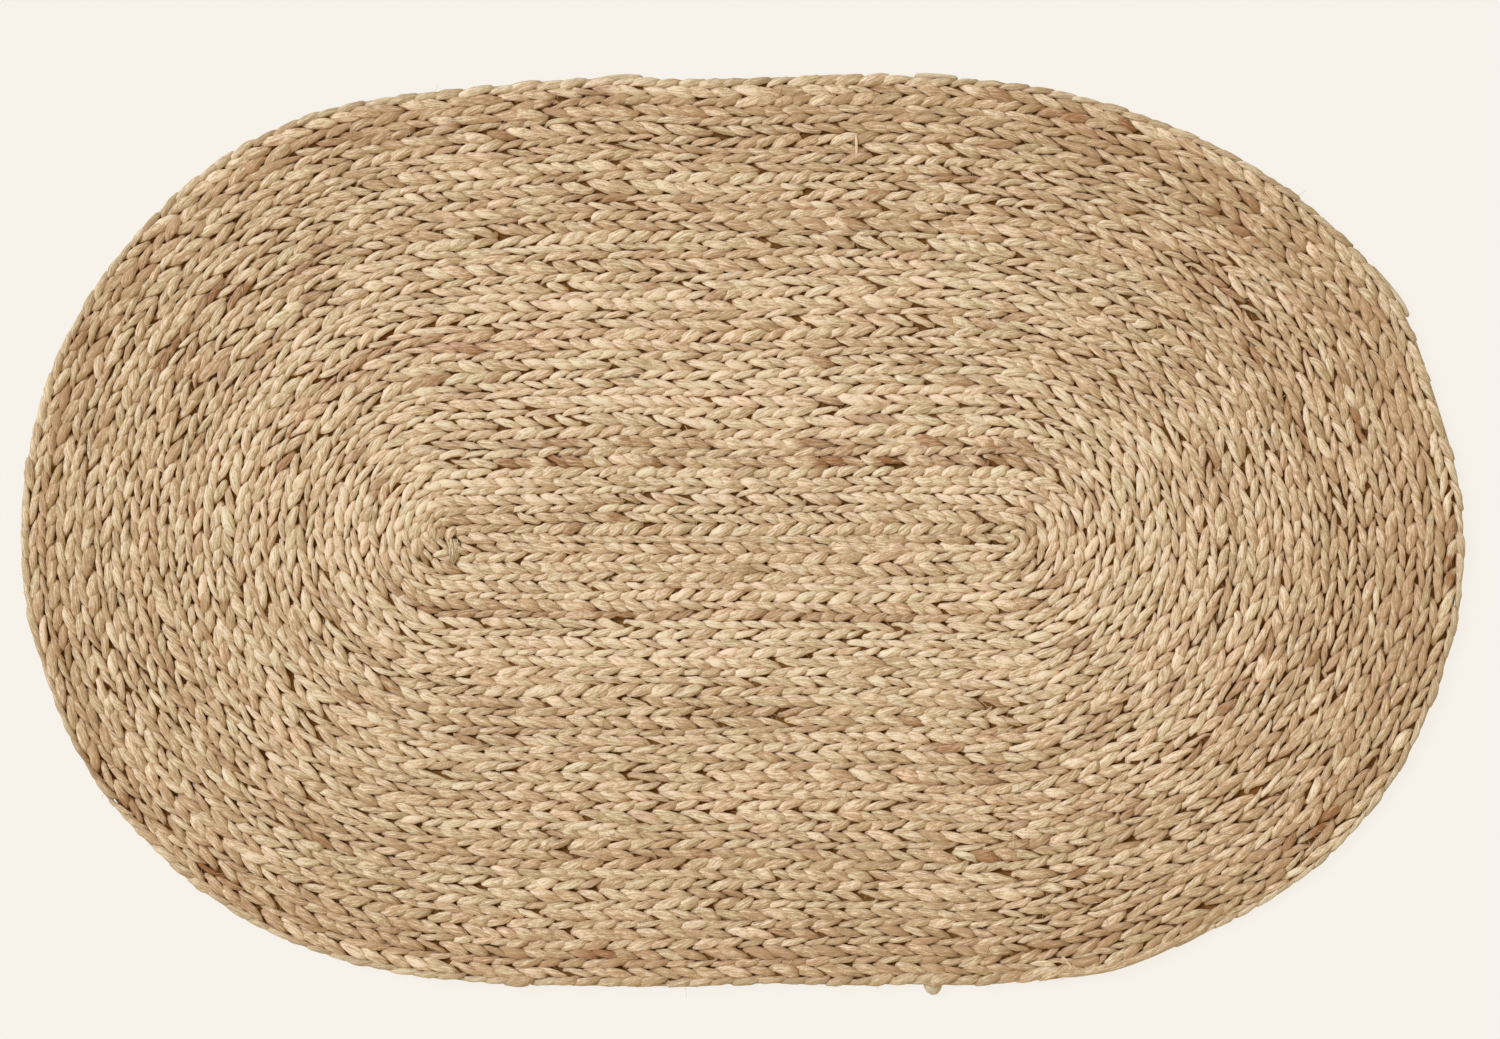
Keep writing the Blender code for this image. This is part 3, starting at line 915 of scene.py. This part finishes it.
def hair_mesh(name, path, thick, tone, grey=0.0):
    """Three-sided hairs along paths, (hairs, rings, 3), with the given radii and one tone for each hair."""
    count, rings = path.shape[:2]
    angle = ring_angles(HAIR_SIDES)
    points = tube_points(path, thick, thick, angle)
    run = np.broadcast_to(np.linspace(0, HAIR_RUN, rings), (count, rings))
    fibre = fibre_place(run, angle, HAIR_FIBRE, HAIR_SHIFT * np.arange(count)[:, None, None], twist=0.0)
    return add_tubes(name, points, fibre, tone[:, None, None], cast=HAIR_CAST * grey, grey=grey)


TUFT_FIBRES = 64
TUFT_RINGS = 9
TUFT_LINE = ((-160.6, -4.6), (-159.6, -10.0), (-159.9, -15.0), (-161.6, -20.0))  # its middle, in millimetres
TUFT_LEVEL = 7.8  # its height, in millimetres
TUFT_THICK = (0.00018, 0.00034)  # thinnest and thickest fibre's radius


def tuft_piece():
    """The frayed start of the plait: fibres combed side by side along TUFT_LINE, spread across it evenly.

    The tuft closes in towards its end, and each fibre wanders a little, rises between its ends by a sine and
    thins to half."""
    rng = np.random.default_rng(SEED + 50)
    knots = np.array(TUFT_LINE)
    reach = rng.uniform(0.35, 1.0, TUFT_FIBRES)[:, None]
    t = np.linspace(0, 1, TUFT_RINGS) * reach + rng.uniform(-0.08, 0.12, (TUFT_FIBRES, 1))
    place = np.clip(t, 0, 1) * (len(knots) - 1)
    x, y = (np.interp(place, np.arange(len(knots)), line) for line in knots.T)
    aside = np.linspace(-1, 1, TUFT_FIBRES) + rng.normal(0, 0.2, TUFT_FIBRES)
    fan = 2.5 - 0.9 * t + 0.3 * np.sin(2 * math.pi * t)
    x = x + aside[:, None] * fan + np.cumsum(rng.normal(0, 0.07, t.shape), axis=1)
    level = TUFT_LEVEL + rng.uniform(-0.5, 0.5, TUFT_FIBRES) - 0.4 * np.abs(aside)
    z = level[:, None] + 0.5 * np.sin(math.pi * t)
    path = np.stack([x, y, z], axis=-1) * MM
    thick = rng.uniform(*TUFT_THICK, TUFT_FIBRES)[:, None] * (1 - 0.5 * t)
    return hair_mesh("frayed_start", path, thick, rng.normal(-0.8, 1.0, TUFT_FIBRES), grey=0.1)


# ---- Loose fibres ----
FIBRE_RINGS = 5
FIBRE_LONGEST = 0.017
FIBRE_THICK = (0.00006, 0.00018)  # thinnest and thickest fibre's radius
FIBRE_LEVEL = 0.0073  # height of a fibre's ends
FIBRE_ARCH = (0.0002, 0.0018)  # least and most that it arches over them
RIM_CUT = 0.35  # share of its length that a fibre near the rim keeps


def fibre_piece(settings):
    """Fine stray fibres that stand off the strands: short curved hairs, three-sided, in random directions.

    Each sets out about along the plait, turns evenly as it goes, arches by a sine and thins to its end."""
    rng = np.random.default_rng(SEED + 30)
    count = settings.fibre_count
    run = rng.uniform(0.02, COIL_RUN[-1] - 0.01, count)
    turn = np.interp(run, COIL_RUN, COIL_TURN)
    foot = mat_place(turn, rng.uniform(0.05, 0.85, count))
    ahead = coil_place(np.minimum(turn + 0.002, LAST_TURN), 0.5) - coil_place(turn, 0.5)
    heading = np.arctan2(ahead[:, 1], ahead[:, 0]) + rng.normal(0, 0.75, count)
    length = np.minimum(rng.gamma(3.2, 0.0030, count), FIBRE_LONGEST)
    length = np.where(turn > LAST_TURN - 1.3, RIM_CUT * length, length)
    bend = rng.normal(0, 0.9, count)
    t = np.linspace(0, 1, FIBRE_RINGS)
    angle = heading[:, None] + bend[:, None] * t
    step = length[:, None] / (FIBRE_RINGS - 1)
    x = foot[:, :1] + np.cumsum(np.cos(angle) * step, axis=1)
    y = foot[:, 1:] + np.cumsum(np.sin(angle) * step, axis=1)
    hump = rng.uniform(*FIBRE_ARCH, count)[:, None] * np.sin(math.pi * t)
    height = FIBRE_LEVEL + rng.uniform(-0.0004, 0.0004, count)[:, None] + hump
    path = np.stack([x, y, height], axis=-1)
    thick = rng.uniform(*FIBRE_THICK, count)[:, None] * (1 - 0.6 * t)
    return hair_mesh("loose_fibres", path, thick, rng.normal(-0.5, 0.8, count))


# ---- Materials ----
def set_inputs(tree, node, inputs):
    """Links each input that is given another node's output, and sets the others to their values."""
    for name, value in inputs.items():
        if isinstance(value, bpy.types.NodeSocket):
            tree.links.new(value, node.inputs[name])
        else:
            node.inputs[name].default_value = value


def add_node(tree, kind, inputs=None, output=0, **settings):
    """Adds a shader node with its settings and inputs, and gives back the output that is asked for."""
    node = tree.nodes.new(kind)
    for name, value in settings.items():
        setattr(node, name, value)
    set_inputs(tree, node, inputs or {})
    return node.outputs[output]


def new_material(name):
    """An empty material with a Principled shader, its tree and the shader."""
    material = bpy.data.materials.new(name)
    material.use_nodes = True
    return material, material.node_tree, material.node_tree.nodes["Principled BSDF"]


def jute_material(settings):
    """Sun-dried jute bast, combed into flat strands and plaited by hand.

    The eye sees a dull, warm straw with long fine streaks along each strand, lobes that differ in tone from
    pale to tan, and brown where bark was left on. The streaks are drawn about half a millimetre wide, wider
    than the real 0.1 mm fibres, so that they show. The noises read the fibres' own places in millimetres."""
    material, tree, shader = new_material(JUTE)
    fibre = add_node(tree, "ShaderNodeAttribute", output="Vector", attribute_name="fibre")
    tone, brown, cast, grey, crease_shade = (
        add_node(tree, "ShaderNodeAttribute", output="Fac", attribute_name=name)
        for name in ("tone", "brown", "cast", "grey", "crease_shade"))

    # Long streaks, broader bands and short fuzz, each about one half.
    drawn = add_node(tree, "ShaderNodeVectorMath", {0: fibre, 1: (1.0, 1.0, 0.11)}, operation="MULTIPLY")
    streak = add_node(tree, "ShaderNodeTexNoise",
                      {"Vector": drawn, "Scale": 1.7, "Detail": 3.0, "Roughness": 0.7})
    broad = add_node(tree, "ShaderNodeTexNoise", {"Vector": drawn, "Scale": 0.33, "Detail": 1.0})
    fuzz = add_node(tree, "ShaderNodeTexNoise", {"Vector": fibre, "Scale": 2.4, "Detail": 2.0})

    # How dark the strand is, from 0 for pale to 1 for tan: the sum of what each adds.
    added = ((streak, 3.65, -1.825), (broad, 1.2, -0.6), (tone, 0.20, 0.40), (fuzz, 1.0, -0.5))
    parts = [add_node(tree, "ShaderNodeMath", {0: source, 1: gain, 2: shift}, operation="MULTIPLY_ADD")
             for source, gain, shift in added]
    total = parts[0]
    for part in parts[1:]:
        total = add_node(tree, "ShaderNodeMath", {0: total, 1: part}, operation="ADD")
    straw = add_node(tree, "ShaderNodeValToRGB", {"Fac": total})
    stops = straw.node.color_ramp.elements
    stops[0].color = (*settings.pale, 1)
    stops[1].color = (*settings.tan, 1)
    stops.new(0.42).color = (*settings.straw, 1)

    # A greener or redder cast.
    tint = add_node(tree, "ShaderNodeMapRange", {"Value": cast, "From Min": -2.0, "From Max": 2.0})
    cool_warm = add_node(tree, "ShaderNodeMixRGB",
                         {"Fac": tint, "Color1": (0.95, 1.0, 0.965, 1), "Color2": (1.06, 0.97, 0.97, 1)})
    tinted = add_node(tree, "ShaderNodeMixRGB", {"Fac": 1.0, "Color1": straw, "Color2": cool_warm},
                      blend_type="MULTIPLY")

    # Bark in the streaks, and the grey: painted shade on the rim's outer edge where it turns down, and the
    # tuft's greyer colour.
    barked = add_node(tree, "ShaderNodeMath", {0: brown, 1: streak}, operation="MULTIPLY")
    barked = add_node(tree, "ShaderNodeMath", {0: barked, 1: 1.4}, operation="MULTIPLY", use_clamp=True)
    colour = add_node(tree, "ShaderNodeMixRGB",
                      {"Fac": barked, "Color1": tinted, "Color2": (*settings.brown, 1)})
    edge_grey = add_node(tree, "ShaderNodeMath", {0: grey, 1: 0.55}, operation="MULTIPLY")
    edge_greyed = add_node(tree, "ShaderNodeMixRGB",
                         {"Fac": edge_grey, "Color1": colour, "Color2": (*settings.grey, 1)})

    # Painted shade, which browns the creases and whatever lies deep, but not the open edge.
    place = add_node(tree, "ShaderNodeTexCoord", output="Object")
    height = add_node(tree, "ShaderNodeSeparateXYZ", {"Vector": place}, output="Z")
    # Painted shade that deepens the lower a surface lies, from 5.4 mm down to 2.6 mm.
    depth = add_node(tree, "ShaderNodeMapRange", {"Value": height, "From Min": 0.0054, "From Max": 0.0026},
                     interpolation_type="SMOOTHSTEP")
    # Painted shade on the strands' sides and undersides.
    crease_shade_share = add_node(tree, "ShaderNodeMath", {0: crease_shade, 1: 0.9}, operation="MULTIPLY")
    deepest = add_node(tree, "ShaderNodeMath", {0: crease_shade_share, 1: depth}, operation="MAXIMUM")
    open_side = add_node(tree, "ShaderNodeMath", {0: 1.0, 1: grey}, operation="SUBTRACT", use_clamp=True)
    painted_shade = add_node(tree, "ShaderNodeMath", {0: deepest, 1: open_side}, operation="MULTIPLY")
    # The painted shade's warm brown, multiplied into the colour.
    shaded = add_node(tree, "ShaderNodeMixRGB",
                      {"Fac": painted_shade, "Color1": edge_greyed, "Color2": (1.06, 0.70, 0.17, 1)},
                      blend_type="MULTIPLY")

    bump = add_node(tree, "ShaderNodeBump", {"Height": streak, "Strength": 0.9, "Distance": 0.0006})
    set_inputs(tree, shader, {"Base Color": shaded, "Normal": bump, "Roughness": 0.78,
                              "Specular IOR Level": 0.28})
    return material


def ground_shade_material():
    """Painted shade for the gaps between the strands: a dark, quite matt brown in place of the shaded lower
    strands.
    Its clumps are about a millimetre wide."""
    material, tree, shader = new_material("gap_painted_shade")
    place = add_node(tree, "ShaderNodeTexCoord", output="Object")
    clumps = add_node(tree, "ShaderNodeTexNoise", {"Vector": place, "Scale": 900.0, "Detail": 2.0})
    gap_shade = add_node(tree, "ShaderNodeValToRGB", {"Fac": clumps})
    # Dark browns of the painted shade.
    for stop, colour in zip(gap_shade.node.color_ramp.elements, ("#5e3f1e", "#966731")):
        stop.color = (*linear(colour), 1)
    set_inputs(tree, shader, {"Base Color": gap_shade, "Roughness": 0.95, "Specular IOR Level": 0.1})
    return material


def floor_material(settings):
    """Opal acrylic of a light table: matt, pale and warm, and lit from below, so that hardly any shadow shows
    on it. The unevenness of its gloss is barely visible."""
    material, tree, shader = new_material("floor_opal_acrylic")
    place = add_node(tree, "ShaderNodeTexCoord", output="Object")
    grain = add_node(tree, "ShaderNodeTexNoise", {"Vector": place, "Scale": 6.0})
    rough = add_node(tree, "ShaderNodeMapRange", {"Value": grain, "To Min": 0.88, "To Max": 0.96})
    thrown_back = [(1 - settings.glow) * part for part in settings.floor]
    set_inputs(tree, shader, {"Base Color": (*thrown_back, 1), "Roughness": rough, "Specular IOR Level": 0.1,
                              "Emission Color": (*settings.floor, 1), "Emission Strength": settings.glow})
    return material


# ---- Operators ----
def jute(context):
    """The strands' material, made the first time it is asked for."""
    return bpy.data.materials.get(JUTE) or jute_material(context.scene.jute_mat)


class JUTEMAT_OT_ground(Operator):
    """Lay the dark sheet of painted shade that the strands are pressed into"""

    bl_idname = "jutemat.ground"
    bl_label = "Felt the ground"

    def execute(self, context):
        finish_piece(shade_ground_piece(), ground_shade_material())
        return {"FINISHED"}


class JUTEMAT_OT_plait(Operator):
    """Plait the three strands and coil them, each in two sections"""

    bl_idname = "jutemat.plait"
    bl_label = "Plait and coil the strands"

    def execute(self, context):
        for strand in range(STRANDS):
            for piece in strand_pieces(strand, context.scene.jute_mat):
                finish_piece(piece, jute(context))
        return {"FINISHED"}


class JUTEMAT_OT_start(Operator):
    """Wind the plait's start on itself and comb out its frayed tuft"""

    bl_idname = "jutemat.start"
    bl_label = "Wind the start"

    def execute(self, context):
        for piece in (start_lobes_piece(), tuft_piece()):
            finish_piece(piece, jute(context))
        return {"FINISHED"}


class JUTEMAT_OT_rim(Operator):
    """Press the outermost turn's edges into one line, and lay the end and the loose strands along it"""

    bl_idname = "jutemat.rim"
    bl_label = "Finish the rim"

    def execute(self, context):
        for piece in (rim_piece(), loose_end_piece()):
            finish_piece(piece, jute(context))
        return {"FINISHED"}


class JUTEMAT_OT_fibres(Operator):
    """Scatter fine loose fibres over the plait"""

    bl_idname = "jutemat.fibres"
    bl_label = "Scatter loose fibres"

    def execute(self, context):
        finish_piece(fibre_piece(context.scene.jute_mat), jute(context))
        return {"FINISHED"}


class JUTEMAT_OT_lay(Operator):
    """Leave the mat as it lies on the floor: this step adds nothing"""

    bl_idname = "jutemat.lay"
    bl_label = "Lay the mat"

    def execute(self, context):
        return {"FINISHED"}


FLOOR_HALF = 12.0  # half the floor's side
KEY_PLACE = (-1.60, 0.75, 1.55)  # the key light shines from here at the mat's middle
KEY_ANGLE = 31  # how wide it looks, in degrees
SENSOR_WIDTH = 36.0  # of the camera, in millimetres
VIEW_MIDDLE = (0.0047, 0.0061, 0.006)  # what the camera looks straight down at


class JUTEMAT_OT_stage(Operator):
    """Lay the floor and set the soft light and the camera straight above the mat"""

    bl_idname = "jutemat.stage"
    bl_label = "Set the stage"

    def execute(self, context):
        settings = context.scene.jute_stage
        scene = context.scene
        points = FLOOR_HALF * np.array([(-1, -1, 0), (1, -1, 0), (1, 1, 0), (-1, 1, 0)])
        floor = add_mesh("floor", points, [np.array([[0, 1, 2, 3]])])
        floor.data.materials.append(floor_material(settings))

        world = bpy.data.worlds.new("studio")
        world.use_nodes = True
        sky = world.node_tree.nodes["Background"]
        sky.inputs["Color"].default_value = (*settings.sky_colour, 1)
        sky.inputs["Strength"].default_value = settings.sky
        scene.world = world

        light = bpy.data.lights.new("key", "SUN")
        light.angle = math.radians(KEY_ANGLE)
        light.energy = settings.key_power
        light.color = settings.key_colour
        key = bpy.data.objects.new("key", light)
        key.location = KEY_PLACE
        key.rotation_euler = (-key.location).to_track_quat("-Z", "Y").to_euler()
        scene.collection.objects.link(key)

        lens = bpy.data.cameras.new("camera")
        lens.lens = settings.focal_length
        lens.sensor_width = SENSOR_WIDTH
        camera = bpy.data.objects.new("camera", lens)
        x, y, z = VIEW_MIDDLE
        camera.location = (x, y, z + settings.focal_length / lens.sensor_width * settings.view_width)
        scene.collection.objects.link(camera)
        scene.camera = camera
        scene.view_settings.view_transform = "Standard"
        scene.view_settings.look = "None"
        return {"FINISHED"}


class JUTEMAT_PT_panel(Panel):
    """Sidebar panel that lists the mat's operators"""

    bl_idname = "JUTEMAT_PT_panel"
    bl_label = "Jute mat"
    bl_space_type = "VIEW_3D"
    bl_region_type = "UI"
    bl_category = "Jute mat"

    def draw(self, context):
        layout = self.layout
        for group in (context.scene.jute_mat, context.scene.jute_stage):
            column = layout.column()
            for name in group.__annotations__:
                column.prop(group, name)
        for operator in OPERATORS:
            layout.operator(operator.bl_idname)


OPERATORS = (JUTEMAT_OT_ground, JUTEMAT_OT_plait, JUTEMAT_OT_start, JUTEMAT_OT_rim, JUTEMAT_OT_fibres,
             JUTEMAT_OT_lay, JUTEMAT_OT_stage)
CLASSES = (JuteMatSettings, JuteStageSettings, *OPERATORS, JUTEMAT_PT_panel)


def register():
    for item in CLASSES:
        bpy.utils.register_class(item)
    bpy.types.Scene.jute_mat = PointerProperty(type=JuteMatSettings)
    bpy.types.Scene.jute_stage = PointerProperty(type=JuteStageSettings)


def unregister():
    del bpy.types.Scene.jute_mat
    del bpy.types.Scene.jute_stage
    for item in reversed(CLASSES):
        bpy.utils.unregister_class(item)


def main():
    register()
    bpy.ops.jutemat.ground()
    bpy.ops.jutemat.plait()
    bpy.ops.jutemat.start()
    bpy.ops.jutemat.rim()
    bpy.ops.jutemat.fibres()
    bpy.ops.jutemat.lay()
    bpy.ops.jutemat.stage()


if __name__ == "__main__":
    main()
